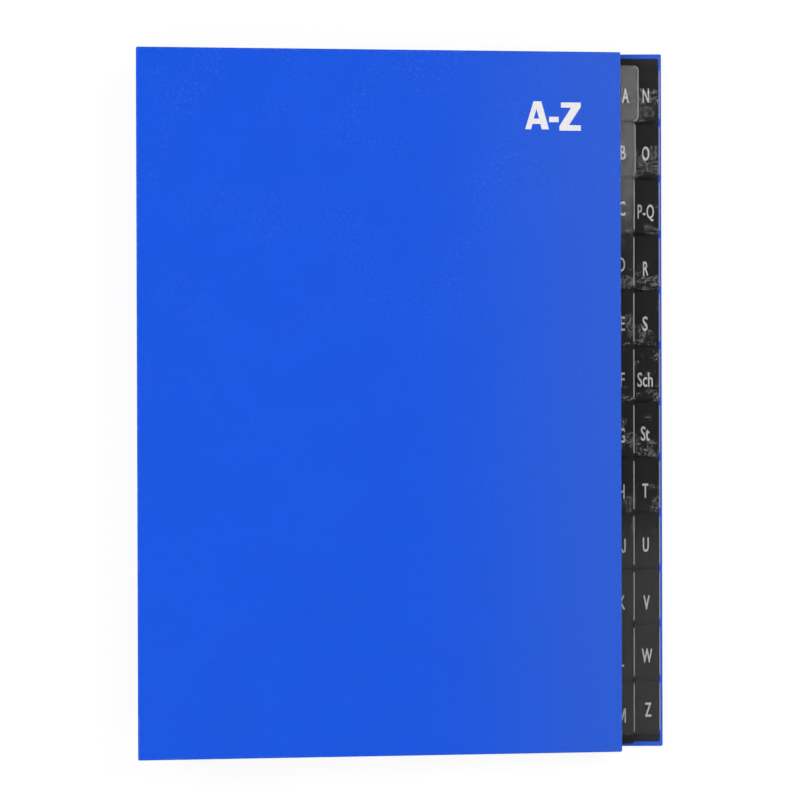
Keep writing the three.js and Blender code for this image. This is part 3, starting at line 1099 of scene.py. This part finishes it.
def soft_light(name, watts, size, location):
    """A large rectangle of light that faces straight down."""
    light = bpy.data.lights.new(name, "AREA")
    light.shape = "RECTANGLE"
    light.size, light.size_y = size
    light.energy = watts
    lamp = link_object(name, light)
    lamp.location = location
    lamp.visible_camera = False


CAMERA_PLACE = (2.3 * MM, 4.8 * MM, 1192.4 * MM)
CAMERA_TURN = [math.radians(angle) for angle in (-0.188, 0.192, -0.166)]


def photo_camera(lens):
    """The camera, straight above the file, as the photograph was taken."""
    data = bpy.data.cameras.new("camera")
    data.lens = lens
    data.sensor_width = 36
    data.clip_start, data.clip_end = 0.01, 30
    camera = link_object("camera", data)
    camera.location = CAMERA_PLACE
    camera.rotation_euler = CAMERA_TURN
    bpy.context.scene.camera = camera


# Operators, one for each group of pieces


class DESKFILE_OT_stage(bpy.types.Operator):
    """Makes the camera, the floor, the surroundings and the lights"""

    bl_idname = "desk_file.stage"
    bl_label = "Stage"

    def execute(self, context):
        settings = context.scene.desk_file_stage
        photo_camera(settings.lens)
        pale_floor()
        even_surroundings(settings.ambient)
        pale_backdrop()
        soft_light("key_light", settings.key_power, (0.8, 0.8), (0.9, 0.6, 1.5))
        soft_light("fill_light", settings.fill_power, (2.0, 1.2), (0.1, -0.75, 1.5))
        soft_light("side_light", settings.side_power, (1.0, 1.0), (-1.2, 0.3, 1.4))
        context.scene.view_settings.view_transform = "Standard"
        return {"FINISHED"}


class DESKFILE_OT_boards(bpy.types.Operator):
    """Makes the front and rear covers with their turned-in covering"""

    bl_idname = "desk_file.boards"
    bl_label = "Covers"

    def execute(self, context):
        covers = context.scene.desk_file_covers
        for side, place in COVER_PLACES.items():
            width = getattr(covers, f"{side}_width")
            covered_board(
                f"{side}_board", f"{side}_cover", f"{side}_cover", width, place, covers
            )
        return {"FINISHED"}


class DESKFILE_OT_linings(bpy.types.Operator):
    """Makes the lining papers inside the covers"""

    bl_idname = "desk_file.linings"
    bl_label = "Linings"

    def execute(self, context):
        covers = context.scene.desk_file_covers
        for side, place in COVER_PLACES.items():
            width = getattr(covers, f"{side}_width")
            lining_sheet(
                f"{side}_lining_paper", f"{side}_lining", f"{side}_cover", width, place, covers
            )
        return {"FINISHED"}


class DESKFILE_OT_spine(bpy.types.Operator):
    """Makes the pleated cloth spine"""

    bl_idname = "desk_file.spine"
    bl_label = "Spine"

    def execute(self, context):
        scene = context.scene
        pleated_spine(scene.desk_file_spine, scene.desk_file_covers.height)
        return {"FINISHED"}


class DESKFILE_OT_hinges(bpy.types.Operator):
    """Makes the cloth hinges between the covers and the spine"""

    bl_idname = "desk_file.hinges"
    bl_label = "Cloth hinges"

    def execute(self, context):
        scene = context.scene
        front_hinge(scene.desk_file_spine, scene.desk_file_covers.height)
        rear_hinge(scene.desk_file_spine, scene.desk_file_covers.height)
        return {"FINISHED"}


class DESKFILE_OT_dividers(bpy.types.Operator):
    """Gives the CAD model's card dividers their black card"""

    bl_idname = "desk_file.dividers"
    bl_label = "Dividers"

    def execute(self, context):
        card = divider_card(context.scene.desk_file_dividers)
        for name in CARD_NAMES:
            node = frame["nodes"][f"divider_{name}"]
            for slot in node.material_slots:
                slot.material = card
        return {"FINISHED"}


class DESKFILE_OT_films(bpy.types.Operator):
    """Makes the film pockets over the tabs"""

    bl_idname = "desk_file.films"
    bl_label = "Tab films"

    def execute(self, context):
        settings = context.scene.desk_file_dividers
        window = film_window(settings)
        seal = film_seal(settings)
        for order, name in enumerate(CARD_NAMES):
            bm = tab_film(order, settings)
            piece = new_piece(f"film_{name}", bm, [window, seal], 30)
            node = f"tab_film_{name}"
            low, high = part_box(node)
            xs = [vert.co.x for vert in piece.data.vertices]
            if max(abs(max(xs) - high.x), abs(min(xs) - low.x)) > 0.2 * MM:
                raise RuntimeError(f"{piece.name} is not where the CAD model has {node}")
            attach(piece, "leaf_block")
            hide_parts(node)
        return {"FINISHED"}


class DESKFILE_OT_index(bpy.types.Operator):
    """Prints the index letters on the tabs"""

    bl_idname = "desk_file.index"
    bl_label = "Index letters"

    def execute(self, context):
        settings = context.scene.desk_file_dividers
        ink = index_ink(settings)
        for order, name in enumerate(CARD_NAMES):
            bm = index_letter(order, name, settings)
            piece = new_piece(f"index_{name}", bm, [ink], 20)
            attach(piece, "leaf_block")
        return {"FINISHED"}


class DESKFILE_OT_title(bpy.types.Operator):
    """Prints the index range on the front cover"""

    bl_idname = "desk_file.title"
    bl_label = "Cover print"

    def execute(self, context):
        covers = context.scene.desk_file_covers
        bm = cut_shapes(TITLE_SHAPES, MM, PRINT_THICKNESS)
        # the print's lower face lies just inside the covering
        lift = Matrix.Translation((0, 0, covers.thickness + 0.012 * MM))
        bmesh.ops.transform(bm, matrix=FRONT_MATRIX @ lift, verts=bm.verts)
        piece = new_piece("index_range", bm, [cover_print(covers)], 20)
        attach(piece, "front_cover")
        return {"FINISHED"}


class DESKFILE_PT_panel(bpy.types.Panel):
    """Lists the settings and the operators"""

    bl_idname = "DESKFILE_PT_panel"
    bl_label = "Desk File"
    bl_space_type = "VIEW_3D"
    bl_region_type = "UI"
    bl_category = "Desk File"

    def draw(self, context):
        for group_name, _, operators in GROUPS:
            group = getattr(context.scene, group_name)
            section = self.layout.box()
            for setting in group.__annotations__:
                section.prop(group, setting)
            for operator in operators:
                section.operator(operator.bl_idname)


GROUPS = [
    ("desk_file_stage", StageSettings, [DESKFILE_OT_stage]),
    (
        "desk_file_covers",
        CoverSettings,
        [DESKFILE_OT_boards, DESKFILE_OT_linings, DESKFILE_OT_title],
    ),
    ("desk_file_spine", SpineSettings, [DESKFILE_OT_spine, DESKFILE_OT_hinges]),
    (
        "desk_file_dividers",
        DividerSettings,
        [DESKFILE_OT_dividers, DESKFILE_OT_films, DESKFILE_OT_index],
    ),
]


def register():
    for name, group, operators in GROUPS:
        bpy.utils.register_class(group)
        setattr(bpy.types.Scene, name, bpy.props.PointerProperty(type=group))
        for operator in operators:
            bpy.utils.register_class(operator)
    bpy.utils.register_class(DESKFILE_PT_panel)


def unregister():
    bpy.utils.unregister_class(DESKFILE_PT_panel)
    for name, group, operators in reversed(GROUPS):
        for operator in reversed(operators):
            bpy.utils.unregister_class(operator)
        delattr(bpy.types.Scene, name)
        bpy.utils.unregister_class(group)


def main():
    register()
    bpy.ops.desk_file.stage()
    bpy.ops.desk_file.boards()
    bpy.ops.desk_file.linings()
    bpy.ops.desk_file.spine()
    bpy.ops.desk_file.hinges()
    bpy.ops.desk_file.dividers()
    bpy.ops.desk_file.films()
    bpy.ops.desk_file.index()
    bpy.ops.desk_file.title()


if __name__ == "__main__":
    main()
